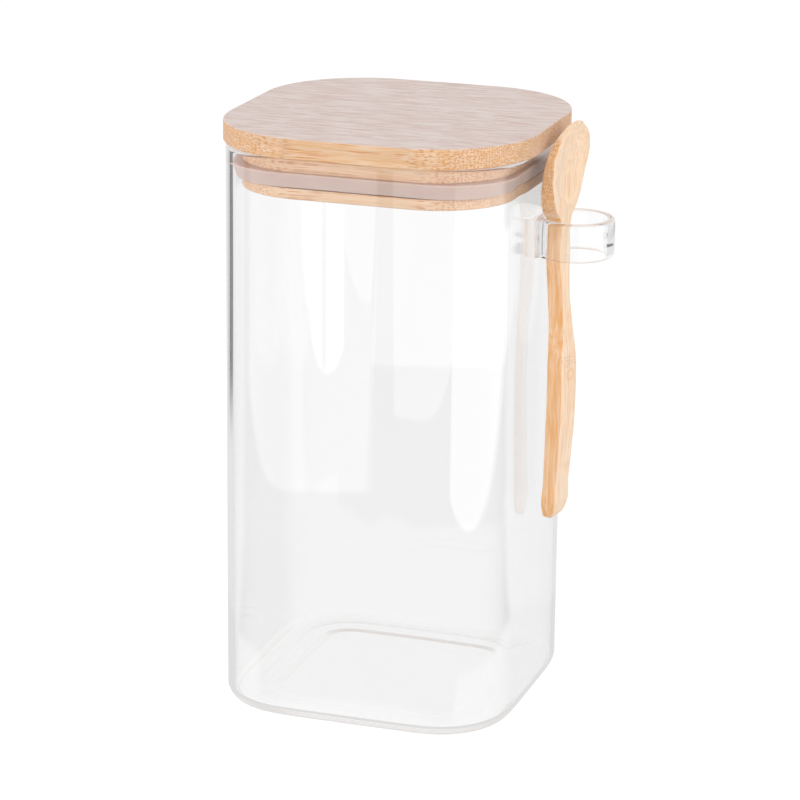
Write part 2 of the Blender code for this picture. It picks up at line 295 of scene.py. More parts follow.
floor_mesh = bpy.data.meshes.new("floor")
shape = bmesh.new()
bmesh.ops.create_grid(shape, x_segments=1, y_segments=1, size=FLOOR_SIZE / 2)
shape.to_mesh(floor_mesh)
shape.free()
floor_mesh.transform(Matrix.Translation((0, 0, -FLOOR_GAP)))
floor_mesh.materials.append(floor_paint)
floor = bpy.data.objects.new("floor", floor_mesh)
bpy.context.scene.collection.objects.link(floor)

world = bpy.data.worlds.new("studio")
bpy.context.scene.world = world
world.use_nodes = True
tree = world.node_tree
tree.nodes.clear()
strength = add_node(tree, MIX, (seen_rays(tree)[0], ROOM_LIGHT, 1.0))
sky = add_node(tree, "ShaderNodeBackground", {"Color": WHITE, "Strength": strength})
add_node(tree, "ShaderNodeOutputWorld", {"Surface": sky})
world.cycles.sampling_method = "NONE"
print("floor:", FLOOR_SIZE, "m wide, with", len(floor_paint.node_tree.nodes), "nodes")

# %% [markdown]
# ## The lamps
#
# Four square softboxes light the wood and the silicone: a key at the right, a weaker fill at the
# left, and two low ones that open up the block under the board. They are hidden from the glass,
# because the plan on the floor already gives it its reflections, and a bare lamp would add a hard
# square. Light goes through many walls here, so the ray counts are high. Filter Glossy is off: it
# blurs reflections to save time, and would smear the fine lines at the glass's edges.

# %% Lamps
LAMP_AIM = (0, 0, 0.1)
LAMPS = (  # name, place and side in metres, power in watts
    ("key_softbox", (1.5, -0.55, 0.85), 1.0, 7.4),
    ("fill_softbox", (-1.2, -1.3, 0.5), 1.0, 5.0),
    ("low_front_softbox", (0.3, -1.6, 0.45), 0.8, 5.5),
    ("low_left_softbox", (-1.5, 0.2, 0.45), 0.8, 6.0))

for name, place, size, power in LAMPS:
    data = bpy.data.lights.new(name, "AREA")
    data.shape = "SQUARE"
    data.size = size
    data.energy = power
    data.cycles.use_multiple_importance_sampling = False
    lamp = bpy.data.objects.new(name, data)
    bpy.context.scene.collection.objects.link(lamp)
    lamp.location = place
    lamp.rotation_euler = (Vector(LAMP_AIM) - Vector(place)).to_track_quat("-Z", "Y").to_euler()
    lamp.visible_glossy = False
    lamp.visible_transmission = False

bpy.context.scene.view_settings.view_transform = "Standard"
cycles = bpy.context.scene.cycles
cycles.max_bounces = 32
cycles.glossy_bounces = 24
cycles.transmission_bounces = 24
cycles.blur_glossy = 0.0
print("lamps:", ", ".join(f"{name} {power} W" for name, place, size, power in LAMPS))

# %% [markdown]
# ## One rule for four pieces
#
# The jar, the board, the block and the seal are all the same idea: a section that travels round a
# square with round corners. A lathe would do it for a round jar, and for a square one the section
# is swept along a filleted rectangle. Geometry Nodes hold that rule once, with the sizes as named
# inputs. The fillet gives every corner the same number of points, so a point's number tells whether
# a straight side follows it. The straight sides are cut into short pieces, so that the smooth
# shading of a corner doesn't bleed over a whole flat wall. A few rounds of blur ease the line where a
# corner runs into a side, as molten glass does. The open rims that are left at the middle are
# filled. At last a seeded waviness pushes the walls in and out, as in glass that was blown into a
# mould. It grows from nothing at the foot and fades again towards the lip, so both stay true.

# %% The sweep tree
def new_tree(name, inputs):
    """An empty Geometry Nodes tree with named inputs and one geometry output."""
    tree = bpy.data.node_groups.new(name, "GeometryNodeTree")
    tree.interface.new_socket("Geometry", in_out="OUTPUT", socket_type="NodeSocketGeometry")
    for label, kind in inputs:
        tree.interface.new_socket(label, in_out="INPUT", socket_type="NodeSocket" + kind)
    return tree


sweep = new_tree("Sweep round a square", (
    ("Section", "Object"), ("Side", "Float"), ("Corner", "Float"), ("Corner Steps", "Int"),
    ("Side Cuts", "Int"), ("Corner Ease", "Int"), ("Waviness", "Float"), ("Wave Length", "Float"),
    ("Wave Low", "Float"), ("Wave High", "Float"), ("Seed", "Float"), ("Low Rim", "Float"),
    ("High Rim", "Float"), ("Material", "Material")))
given = add_node(sweep, "NodeGroupInput").outputs

square = add_node(sweep, "GeometryNodeCurvePrimitiveQuadrilateral",
                  {"Width": given["Side"], "Height": given["Side"]}, mode="RECTANGLE")
path = add_node(sweep, "GeometryNodeFilletCurve",
                {"Curve": square, "Count": given["Corner Steps"], "Radius": given["Corner"]},
                mode="POLY")
number = add_node(sweep, "GeometryNodeInputIndex")
corner_points = add_node(sweep, MATH, (given["Corner Steps"], 1.0), operation="ADD")
number = add_node(sweep, MATH, (number, corner_points), operation="MODULO")
straight = add_node(sweep, MATH, (number, given["Corner Steps"], 0.5), operation="COMPARE")
cuts = add_node(sweep, MATH, (straight, given["Side Cuts"]), operation="MULTIPLY")
path = add_node(sweep, "GeometryNodeSubdivideCurve", {"Curve": path, "Cuts": cuts})
eased = add_node(sweep, "GeometryNodeBlurAttribute",
                 {"Value": add_node(sweep, POSITION), "Iterations": given["Corner Ease"]},
                 data_type="FLOAT_VECTOR")
path = add_node(sweep, "GeometryNodeSetPosition", {"Geometry": path, "Position": eased})
path = add_node(sweep, "GeometryNodeSetCurveNormal", {"Curve": path}, mode="Z_UP")
section = add_node(sweep, "GeometryNodeObjectInfo", {"Object": given["Section"]},
                   transform_space="ORIGINAL")
walls = add_node(sweep, "GeometryNodeCurveToMesh",
                 {"Curve": path, "Profile Curve": section.outputs["Geometry"]})
print("nodes up to the walls:", len(sweep.nodes))

# %% Filled rims
CAP_MERGE = 0.000005

neighbours = add_node(sweep, "GeometryNodeInputMeshEdgeNeighbors")
rim = add_node(sweep, "FunctionNodeCompare", (neighbours, 1), data_type="INT", operation="EQUAL")
height = add_node(sweep, SPLIT, (add_node(sweep, POSITION),)).outputs["Z"]
joined = add_node(sweep, "GeometryNodeJoinGeometry", {"Geometry": walls})
for level in ("Low Rim", "High Rim"):
    here = add_node(sweep, "FunctionNodeCompare", (height, given[level], CAP_MERGE),
                    data_type="FLOAT", operation="EQUAL")
    chosen = add_node(sweep, "FunctionNodeBooleanMath", (rim, here), operation="AND")
    outline = add_node(sweep, "GeometryNodeMeshToCurve", {"Mesh": walls, "Selection": chosen})
    cap = add_node(sweep, "GeometryNodeFillCurve", {"Curve": outline}, mode="NGONS")
    lift = add_node(sweep, "ShaderNodeCombineXYZ", {"Z": given[level]})
    cap = add_node(sweep, "GeometryNodeTransform", {"Geometry": cap, "Translation": lift})
    if level == "Low Rim":
        cap = add_node(sweep, "GeometryNodeFlipFaces", {"Mesh": cap})
    sweep.links.new(cap.outputs[0], joined.inputs[0])
whole = add_node(sweep, "GeometryNodeMergeByDistance", {"Geometry": joined,
                                                        "Distance": CAP_MERGE})
print("nodes up to the filled rims:", len(sweep.nodes))

# %% Waviness, and the end of the tree
WAVE_SQUASH = (1.0, 1.0, 0.3)    # waves run further up the wall than round it

flat = add_node(sweep, VECTOR, (add_node(sweep, POSITION), WAVE_SQUASH), operation="MULTIPLY")
pitch = add_node(sweep, MATH, (1.0, given["Wave Length"]), operation="DIVIDE")
wave = add_node(sweep, NOISE, {"Vector": flat, "W": given["Seed"], "Scale": pitch, "Detail": 1.0},
                noise_dimensions="4D")
push = add_node(sweep, MATH, (wave, 0.5), operation="SUBTRACT")
push = add_node(sweep, MATH, (push, given["Waviness"]), operation="MULTIPLY")
rise = add_node(sweep, RANGE, (height, 0.0, given["Wave Low"]), interpolation_type="SMOOTHSTEP")
fall = add_node(sweep, RANGE, (height, given["Wave High"], given["Wave Low"]),
                interpolation_type="SMOOTHSTEP")
push = add_node(sweep, MATH, (push, rise), operation="MULTIPLY")
push = add_node(sweep, MATH, (push, fall), operation="MULTIPLY")
offset = add_node(sweep, VECTOR, (add_node(sweep, "GeometryNodeInputNormal"), push),
                  operation="SCALE")
whole = add_node(sweep, "GeometryNodeSetPosition", {"Geometry": whole, "Offset": offset})
whole = add_node(sweep, "GeometryNodeSetShadeSmooth", {"Geometry": whole})
whole = add_node(sweep, "GeometryNodeRealizeInstances", {"Geometry": whole})
whole = add_node(sweep, "GeometryNodeSetMaterial", {"Geometry": whole,
                                                    "Material": given["Material"]})
add_node(sweep, "NodeGroupOutput", {"Geometry": whole})
print("the sweep tree has", len(sweep.nodes), "nodes")

# %% [markdown]
# ## From an outline to a piece
#
# A section is a list of points, each as far outwards and up as the real one. Arcs round its corners,
# and long straight runs are cut up, with one cut close to each end, so that the shading turns only
# where the shape does. The tree runs as a modifier on an empty mesh, and its result is kept as a plain
# mesh. Each piece is then measured: a closed surface has two faces at every edge.

# %% Sections
NEAR_CORNER = 0.0003

def arc(across, up, radius, start, end, steps):
    """Points on an arc round a centre, from one angle in degrees to another."""
    angles = [math.radians(start + (end - start) * step / steps) for step in range(steps + 1)]
    return [(across + radius * math.cos(angle), up + radius * math.sin(angle)) for angle in angles]


def with_steps(points, step, closed=False):
    """The same outline with its long straight runs cut up, finely next to their ends."""
    outline = []
    ends = points[1:] + points[:1] if closed else points[1:]
    for start, end in zip(points, ends):
        run = math.dist(start, end)
        outline.append(start)
        if run > step:
            count = math.ceil(run / step)
            places = [NEAR_CORNER / run] + [n / count for n in range(1, count)]
            places.append(1 - NEAR_CORNER / run)
            outline += [(start[0] + (end[0] - start[0]) * share,
                         start[1] + (end[1] - start[1]) * share) for share in places]
    return outline if closed else outline + [points[-1]]


def section_curve(name, points, closed=False):
    """An outline of points outwards and up, as a curve that the sweep can read."""
    data = bpy.data.curves.new(name, "CURVE")
    data.dimensions = "3D"
    spline = data.splines.new("POLY")
    spline.points.add(len(points) - 1)
    for knot, (outwards, up) in zip(spline.points, points):
        knot.co = (outwards, -up, 0, 1)
    spline.use_cyclic_u = closed
    item = bpy.data.objects.new(name, data)
    bpy.context.scene.collection.objects.link(item)
    return item


print("a quarter round of 1 mm in 8 steps has", len(arc(0, 0, 0.001, 0, 90, 8)), "points")

# %% Pieces
CORNER_STEPS = 28
SIDE_CUTS = 24
WAVE_LENGTH = 0.03
WAVE_LOW = 0.03
WAVE_HIGH = 0.19
WAVE_SEED = 1.0

def link_piece(name, mesh):
    """Link a mesh as a piece, and print its size and how well it is closed."""
    piece = bpy.data.objects.new(name, mesh)
    bpy.context.scene.collection.objects.link(piece)
    shape = bmesh.new()
    shape.from_mesh(mesh)
    open_edges = sum(len(edge.link_faces) != 2 for edge in shape.edges)
    volume = shape.calc_volume(signed=True) * 1e6
    shape.free()
    spots = np.array([vert.co for vert in mesh.vertices])
    size = (spots.max(axis=0) - spots.min(axis=0)) * 1000
    print(f"{name}: {len(mesh.polygons)} faces, {open_edges} open edges, {volume:.1f} cm3,",
          "mm", size.round(2))
    return piece


def piece_from_tree(name, tree, values):
    """Run a tree on an empty mesh, and keep the result as a plain mesh."""
    maker = bpy.data.objects.new("maker", bpy.data.meshes.new("maker"))
    bpy.context.scene.collection.objects.link(maker)
    modifier = maker.modifiers.new("Tree", "NODES")
    modifier.node_group = tree
    for item in tree.interface.items_tree:
        if item.in_out == "INPUT" and item.name in values:
            modifier[item.identifier] = values[item.name]
    state = bpy.context.evaluated_depsgraph_get()
    mesh = bpy.data.meshes.new_from_object(maker.evaluated_get(state))
    mesh.name = name
    bpy.data.objects.remove(maker, do_unlink=True)
    return link_piece(name, mesh)


def sweep_piece(name, points, side, corner, material, step, closed=False, ease=0, waviness=0.0):
    """Sweep an outline, which runs down its outer side, round a square, and drop the outline."""
    low_rim, high_rim = sorted((points[0][1], points[-1][1]))
    guide = section_curve("section", with_steps(points, step, closed), closed)
    piece = piece_from_tree(name, sweep, {
        "Section": guide, "Side": side, "Corner": corner, "Corner Steps": CORNER_STEPS,
        "Side Cuts": SIDE_CUTS, "Corner Ease": ease, "Waviness": waviness,
        "Wave Length": WAVE_LENGTH, "Wave Low": WAVE_LOW, "Wave High": WAVE_HIGH,
        "Seed": WAVE_SEED, "Low Rim": low_rim, "High Rim": high_rim, "Material": material})
    bpy.data.objects.remove(guide, do_unlink=True)
    return piece


print("a swept square has", 4 * (CORNER_STEPS + 1 + SIDE_CUTS), "steps round it")

# %% [markdown]
# ## Borosilicate glass
#
# The jar is clear borosilicate glass, the kind that laboratory ware is made of. It was blown into a
# mould and its lip was melted smooth in a flame, so every surface is fire-bright: no grain, only a
# slow waviness that the geometry carries. Each wall takes a few hundredths of the light, which makes
# the inside of the jar a shade greyer than the white sheet behind it. A very faint ripple is
# added as bump, 15 mm from crest to crest, because a perfect wall looks like plastic.
#
# Light that is thrown about inside a wall goes round and round, and would need hundreds of bounces
# to come out. It comes out pale where it has passed few surfaces, and brownish where it has gone
# through the whole jar. So after a few reflections the glass gives off such a colour itself, as a
# painted glow: the near leak or the far leak. The rims of the loop get a thin brownish line, which is
# a tint between two heights.

# %% Glass
GLASS_IOR = 1.47
TINT_PITCH = 0.05
RIPPLE_PITCH = 0.015
JAR_RIPPLE = 0.0000005
LOOP_RIPPLE = 0.000002
NEAR_LEAK = linear("#F4F0EE")
FAR_LEAK = linear("#CBB6A7")
FAR_FROM = 2.5           # surfaces passed, over which the far leak shows
RIM_TINT = linear("#E6CDBE")
RIM_TINT_WIDTH = 0.0005
RIM_TINT_BLUR = 0.0003
FOOT_RISE = 0.0011       # the melted foot stands this far over the loop's own top
FOOT_DROP = 0.0009       # and this far under its bottom

loop_low, loop_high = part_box("glass_loop")
loop_top = loop_high[2] - FOOT_RISE
loop_bottom = loop_low[2] + FOOT_DROP

def glass(name, tints, ripple, lost_after, leak_level, far_leak, rims=()):
    """Clear glass with a slight tint that drifts from place to place, and faint ripples."""
    material, tree = new_material(name)
    place = add_node(tree, COORDINATES).outputs["Object"]
    drift = add_node(tree, NOISE, {"Vector": place, "Scale": 1 / TINT_PITCH, "Detail": 1.0})
    tint = add_node(tree, MIX, (drift, linear(tints[0]), linear(tints[1])), data_type="RGBA")
    height = add_node(tree, SPLIT, (place,)).outputs["Z"]
    for low, high in rims:
        at_rim = between(tree, height, low, high, RIM_TINT_BLUR)
        tint = add_node(tree, MIX, (at_rim, tint, RIM_TINT), data_type="RGBA")
    waves = add_node(tree, NOISE, {"Vector": place, "Scale": 1 / RIPPLE_PITCH, "Detail": 0.0})
    bump = add_node(tree, "ShaderNodeBump", {"Height": waves, "Distance": ripple, "Strength": 1.0})
    clear = add_node(tree, "ShaderNodeBsdfPrincipled", {
        "Base Color": tint, "Roughness": 0.0, "IOR": GLASS_IOR, "Transmission Weight": 1.0,
        "Normal": bump})
    # Painted glow: after a few reflections the glass gives off the leak colour itself.
    path = add_node(tree, "ShaderNodeLightPath").outputs
    lost = add_node(tree, MATH, (path["Glossy Depth"], lost_after), operation="GREATER_THAN")
    far = add_node(tree, MATH, (path["Transmission Depth"], FAR_FROM), operation="GREATER_THAN")
    leak = add_node(tree, MIX, (far, NEAR_LEAK, far_leak), data_type="RGBA")
    leak = add_node(tree, "ShaderNodeEmission", {"Color": leak, "Strength": leak_level})
    surface = add_node(tree, "ShaderNodeMixShader", (lost, clear, leak))
    add_node(tree, "ShaderNodeOutputMaterial", {"Surface": surface})
    material.cycles.emission_sampling = "NONE"
    return material


# Blown glass: clear to the eye, with a trace of grey in its thickness.
jar_glass = glass("borosilicate_glass_moulded", ("#FCFCFC", "#FBFBFB"), JAR_RIPPLE,
                  lost_after=4.5, leak_level=0.87, far_leak=FAR_LEAK)
# Hand-worked tube: more waves than the jar, a trace of green, and melted rims with a thin brownish
# tint.
loop_glass = glass("borosilicate_glass_hand_worked", ("#FDFDFD", "#F9FBFA"), LOOP_RIPPLE,
                   lost_after=1.5, leak_level=0.93, far_leak=NEAR_LEAK,
                   rims=((loop_bottom, loop_bottom + RIM_TINT_WIDTH),
                         (loop_top - RIM_TINT_WIDTH, loop_top + RIM_TINT_WIDTH)))
print("glass materials:", jar_glass.name, loop_glass.name)

# %% [markdown]
# ## The jar
#
# The wall is 2.2 mm thick and the base 3 mm. The foot is a round heel, and the lip was melted until
# its edges ran round. The jar stands on a narrow ring, and inside it the base is raised in two slow
# slopes by less than half a millimetre, which keeps a blown jar from rocking. Seen through the glass,
# these slopes draw the double line at the back of the base. The section starts on the inner floor,
# just inside the heel, goes up the inner wall, over the lip, down the outer wall, round the
# heel and into the recess. The sweep fills the two flats.

# %% Glass jar
JAR_WALL = 0.0022
JAR_BASE = 0.0030
JAR_CORNER = 0.0253
JAR_HEEL = 0.0050
INNER_HEEL = 0.0016
INNER_FLAT = 0.0020
JAR_LIP = 0.0011
HEEL_STEPS = 16
LIP_STEPS = 8
RECESS = (  # in from the outer side, and up
    (-0.0084, 0.0), (-0.0099, 0.00013), (-0.0150, 0.00013), (-0.0180, 0.00043),
    (-0.0192, 0.00043))
JAR_STEP = 0.004
CORNER_EASE = 18
JAR_WAVES = 0.00012
WAVE_ROOM = 0.00002

jar_low, jar_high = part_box("glass_jar")
jar_side = jar_high[0] - jar_low[0]
jar_height = jar_high[2]
jar_section = (
    [(-JAR_WALL - INNER_HEEL - INNER_FLAT, JAR_BASE)]
    + arc(-JAR_WALL - INNER_HEEL, JAR_BASE + INNER_HEEL, INNER_HEEL, 270, 360, HEEL_STEPS)
    + arc(-JAR_WALL + JAR_LIP, jar_height - JAR_LIP, JAR_LIP, 180, 90, LIP_STEPS)
    + arc(-JAR_LIP, jar_height - JAR_LIP, JAR_LIP, 90, 0, LIP_STEPS)[1:]
    + arc(-JAR_HEEL, JAR_HEEL, JAR_HEEL, 0, -90, HEEL_STEPS)
    + list(RECESS))
jar = sweep_piece("jar_of_glass", jar_section, jar_side - 2 * WAVE_ROOM, JAR_CORNER, jar_glass,
                  JAR_STEP, ease=CORNER_EASE, waviness=JAR_WAVES)

# %% [markdown]
# ## The loop
#
# The loop is a short length of glass tube, rounded in the flame and pressed hot against the wall.
# Where it touched, the glass ran, so its foot spreads on the wall in a smooth hollow curve. A union
# of two solids would leave a sharp crease there. Here the loop is a field instead: at every point of
# a small block of space the tree works out the distance to a round-edged tube and the distance to the
# wall, and a smooth minimum melts the two into one. Volume to Mesh then draws the skin
# where that distance is zero. The foot's face ends a hair inside the jar's wall, because fused
# glass has no air between.
#
# The sum is a table: each row is one Math node, with its name, its operation and what goes in. A name
# that comes twice is worked on further. The bore is opened again after the melting, so that the
# spoon still goes in.

# %% The melt tree
melt = new_tree("Tube melted onto a wall", (
    ("Bore Radius", "Float"), ("Wall", "Float"), ("Height", "Float"), ("Edge", "Float"),
    ("Barrel", "Float"), ("Centre", "Vector"), ("Melt Plane", "Float"), ("Cut", "Float"),
    ("Melt", "Float"), ("Squeeze", "Float"), ("Unevenness", "Float"), ("Low Corner", "Vector"),
    ("High Corner", "Vector"), ("Steps X", "Int"), ("Steps Y", "Int"), ("Steps Z", "Int"),
    ("Material", "Material")))
given = add_node(melt, "NodeGroupInput").outputs
print("inputs of the melt tree:", len(melt.interface.items_tree) - 1)

# %% The field
HAND_PITCH = 0.007       # how far apart the dents of the hand are
BORE_EDGE = 0.0006       # how softly the opened bore meets the melted foot
FIELD_SCALE = -1000.0    # millimetres, turned round: Volume to Mesh keeps what lies above zero

known = {socket.name: socket for socket in given}
spot = add_node(melt, POSITION)
apart = add_node(melt, VECTOR, (spot, given["Centre"]), operation="SUBTRACT")
known["x"], known["y"], known["z"] = add_node(melt, SPLIT, (apart,)).outputs
known["place x"] = add_node(melt, SPLIT, (spot,)).outputs["X"]
known["hand"] = add_node(melt, NOISE, {"Vector": spot, "Scale": 1 / HAND_PITCH, "Detail": 0.0})
for name, operation, *terms in (
        ("xx", "MULTIPLY", "x", "x"),
        ("yy", "MULTIPLY", "y", "y"),
        ("out", "ADD", "xx", "yy"),
        ("out", "SQRT", "out"),
        ("up", "ABSOLUTE", "z"),
        ("half height", "MULTIPLY", "Height", 0.5),
        ("over", "SUBTRACT", "up", "half height"),
        ("level", "DIVIDE", "up", "half height"),
        ("level", "MULTIPLY", "level", "level"),
        ("bulge", "SUBTRACT", 1.0, "level"),
        ("bulge", "MAXIMUM", "bulge", 0.0),
        ("bulge", "MULTIPLY", "bulge", "Barrel"),
        ("half wall", "ADD", "Wall", "bulge"),
        ("half wall", "MULTIPLY", "half wall", 0.5),
        ("middle", "ADD", "Bore Radius", "half wall"),
        ("across", "SUBTRACT", "out", "middle"),
        ("across", "ABSOLUTE", "across"),
        ("across", "SUBTRACT", "across", "half wall"),
        ("across", "ADD", "across", "Edge"),
        ("above", "ADD", "over", "Edge"),
        ("round x", "MAXIMUM", "across", 0.0),
        ("round x", "MULTIPLY", "round x", "round x"),
        ("round z", "MAXIMUM", "above", 0.0),
        ("round z", "MULTIPLY", "round z", "round z"),
        ("beyond", "ADD", "round x", "round z"),
        ("beyond", "SQRT", "beyond"),
        ("within", "MAXIMUM", "across", "above"),
        ("within", "MINIMUM", "within", 0.0),
        ("to tube", "ADD", "beyond", "within"),
        ("to tube", "SUBTRACT", "to tube", "Edge"),
        ("over", "MAXIMUM", "over", 0.0),
        ("to tube", "MULTIPLY_ADD", "over", "Squeeze", "to tube"),
        ("to wall", "SUBTRACT", "place x", "Melt Plane"),
        ("field", "SMOOTH_MIN", "to tube", "to wall", "Melt"),
        ("hand", "SUBTRACT", "hand", 0.5),
        ("field", "MULTIPLY_ADD", "hand", "Unevenness", "field"),
        ("in bore", "SUBTRACT", "Bore Radius", "out"),
        ("field", "SMOOTH_MAX", "field", "in bore", BORE_EDGE),
        ("behind", "SUBTRACT", "Cut", "place x"),
        ("field", "MAXIMUM", "field", "behind"),
        ("density", "MULTIPLY", "field", FIELD_SCALE)):
    values = [known[term] if isinstance(term, str) else term for term in terms]
    known[name] = add_node(melt, MATH, values, operation=operation)
print("nodes up to the field:", len(melt.nodes))

# %% The skin of the field
block_of_space = add_node(melt, "GeometryNodeVolumeCube", {
    "Density": known["density"], "Background": -1.0, "Min": given["Low Corner"],
    "Max": given["High Corner"], "Resolution X": given["Steps X"],
    "Resolution Y": given["Steps Y"], "Resolution Z": given["Steps Z"]})
skin = add_node(melt, "GeometryNodeVolumeToMesh", {"Volume": block_of_space, "Threshold": 0.0})
skin = add_node(melt, "GeometryNodeSetShadeSmooth", {"Geometry": skin})
skin = add_node(melt, "GeometryNodeRealizeInstances", {"Geometry": skin})
skin = add_node(melt, "GeometryNodeSetMaterial", {"Geometry": skin, "Material": given["Material"]})
add_node(melt, "NodeGroupOutput", {"Geometry": skin})
print("the melt tree has", len(melt.nodes), "nodes")

# %% Glass loop
LOOP_BORE = 0.0206
LOOP_WALL = 0.0021
LOOP_BARREL = 0.0004
LOOP_ROUND = 0.00095
MELT_WIDTH = 0.0060
MELT_SINK = 0.00035
MELT_SQUEEZE = 2.5
FOOT_SINK = 0.0001
FOOT_REACH = 0.018
HAND_WAVES = 0.00025
HAND_ROOM = 0.00006
SPACE_MARGIN = 0.0015
VOXEL = 0.00022

bore = LOOP_BORE / 2
loop_radius = bore + LOOP_WALL
loop_x = loop_high[0] - loop_radius - LOOP_BARREL - HAND_ROOM
wall_x = jar_side / 2
space_low = (wall_x - SPACE_MARGIN, -FOOT_REACH, loop_low[2] - SPACE_MARGIN)
space_high = (loop_high[0] + SPACE_MARGIN, FOOT_REACH, loop_high[2] + SPACE_MARGIN)
counts = [round((high - low) / VOXEL) for low, high in zip(space_low, space_high)]
loop = piece_from_tree("loop_of_glass", melt, {
    "Bore Radius": bore, "Wall": LOOP_WALL, "Height": loop_top - loop_bottom,
    "Edge": LOOP_ROUND, "Barrel": LOOP_BARREL,
    "Centre": (loop_x, 0.0, (loop_top + loop_bottom) / 2), "Melt Plane": wall_x - MELT_SINK,
    "Cut": wall_x - FOOT_SINK, "Melt": MELT_WIDTH, "Squeeze": MELT_SQUEEZE,
    "Unevenness": HAND_WAVES, "Low Corner": space_low, "High Corner": space_high,
    "Steps X": counts[0], "Steps Y": counts[1], "Steps Z": counts[2], "Material": loop_glass})

# %% [markdown]
# ## Bamboo
#
# Bamboo is a grass. A strip of it is packed with fibre bundles that run along the stem, dark against
# the pale pith between them. Cut along the stem they are thin streaks, and cut across they are
# dots. One solid texture gives both: Voronoi cells under a millimetre across, read only in the plane
# across the grain, so that each one is endless along it, and a long stretched noise breaks them into
# pieces. Where a face runs with the grain it shows the cells' long sides, and where it turns across it
# shows their ends, so a rounded corner changes from streaks to dots by itself, as on the real
# board. A board is glued up from strips about 8 mm wide, and each has its own shade and its own grain.
# Real bundles are 0.2 to 0.4 mm apart at the outside of the stem. That is too fine to show here, so
# cells and streaks are drawn two to three times as coarse.
#
# Each function below is one feature of the wood, or of the shade and sheen painted on it, and returns
# a mask or a place. The finish lays them over each other: pale and warm streaks first, then the
# fibres, then shade.

# %% Grain, fibres and strips
STRIP_WIDTH = 0.0082
STRIP_JUMP = 0.5
STRIP_SHADES = (0.95, 1.03)
SEAM_WIDTH = 0.0003
SEAM_SHADE = 0.93
FIBRE_BEND = 0.0015
BEND_PITCH = 0.03
CELL_SCATTER = 0.65
DOT_EDGE = (0.36, 0.20)      # from the pith to the heart of a bundle, as shares of a cell
GAP_NOISE = (0.40, 0.56)
GAP_LEFT_OVER = 0.25         # how much of a bundle still shows where it fades

def stretched_noise(tree, place, size, detail=2.0, roughness=0.55):
    """Noise whose spots are as long along X, Y and Z as the three lengths in metres."""
    spot = add_node(tree, VECTOR, (place, size), operation="DIVIDE")
    return add_node(tree, NOISE, {"Vector": spot, "Scale": 1.0, "Detail": detail,
                                  "Roughness": roughness})


def glued_strips(tree, place, shift):
    """Strips side by side: the grain's own place in each one, and each one's shade."""
    across = add_node(tree, SPLIT, (place,)).outputs["Y"]
    row = add_node(tree, MATH, (across, 1 / STRIP_WIDTH, shift), operation="MULTIPLY_ADD")
    number = add_node(tree, MATH, (row,), operation="FLOOR")
    chance = add_node(tree, "ShaderNodeTexWhiteNoise", {"W": number},
                      noise_dimensions="1D").outputs
    jump = add_node(tree, VECTOR, (chance["Color"], STRIP_JUMP), operation="SCALE")
    grain = add_node(tree, VECTOR, (place, jump), operation="ADD")
    edge = add_node(tree, MATH, (row,), operation="FRACT")
    edge = add_node(tree, MATH, (edge, 0.5), operation="SUBTRACT")
    edge = add_node(tree, MATH, (edge,), operation="ABSOLUTE")
    seam = add_node(tree, RANGE, (edge, 0.5 - SEAM_WIDTH / STRIP_WIDTH, 0.5, 1.0, SEAM_SHADE))
    shade = add_node(tree, RANGE, (chance["Value"], 0.0, 1.0, *STRIP_SHADES))
    return grain, add_node(tree, MATH, (seam, shade), operation="MULTIPLY")


def bent_grain(tree, grain):
    """The grain's place pushed to and fro, so that no fibre runs like a ruled line."""
    bend = add_node(tree, NOISE, {"Vector": grain, "Scale": 1 / BEND_PITCH, "Detail": 1.0})
    bend = add_node(tree, VECTOR, (bend.outputs["Color"], (0.5, 0.5, 0.5)), operation="SUBTRACT")
    bend = add_node(tree, VECTOR, (bend, FIBRE_BEND), operation="SCALE")
    return add_node(tree, VECTOR, (grain, bend), operation="ADD")


def fibre_ends(tree, place, cell, plane, gaps, ends=0.0):
    """The dark bundles: dots where they are cut across, broken lines along the grain."""
    spot = add_node(tree, VECTOR, (place, cell), operation="DIVIDE")
    parts = add_node(tree, SPLIT, (spot,)).outputs
    flat = add_node(tree, "ShaderNodeCombineXYZ", (parts[plane[0]], parts[plane[1]]))
    cells = add_node(tree, "ShaderNodeTexVoronoi",
                     {"Vector": flat, "Scale": 1.0, "Randomness": CELL_SCATTER},
                     voronoi_dimensions="2D")
    dots = add_node(tree, RANGE, (cells.outputs["Distance"], *DOT_EDGE))
    there = stretched_noise(tree, place, gaps, detail=1.0)
    there = add_node(tree, RANGE, (there, *GAP_NOISE, GAP_LEFT_OVER, 1.0))
    there = add_node(tree, MATH, (there, ends), operation="MAXIMUM")
    return add_node(tree, MATH, (dots, there), operation="MULTIPLY")


def faces_along(tree, axis, low, high):
    """A mask of the faces that look along an axis, one way or the other."""
    normal = add_node(tree, COORDINATES).outputs["Normal"]
    share = add_node(tree, VECTOR, (normal, axis), operation="DOT_PRODUCT")
    share = add_node(tree, MATH, (share,), operation="ABSOLUTE")
    return add_node(tree, RANGE, (share, low, high))


print("a fibre bundle takes up to", round(100 * math.pi * DOT_EDGE[0] ** 2), "% of its cell")

# %% Marks on the wood, and painted shade and sheen
TOP_NOISE = (0.38, 0.68)
TOP_FADE = 0.0002
SIDE_FACES = (0.55, 0.8)
DASH_FADE = 0.01
DASH_SHARE = 0.85
KNOT_RING = (0.55, 1.05)
KNOT_BLUR = 0.5
KNOT_SHARE = 0.45
SPECK_BLUR = 0.002
SPECK_SHARE = 0.7
SPECK_COLOUR = "#C88658"

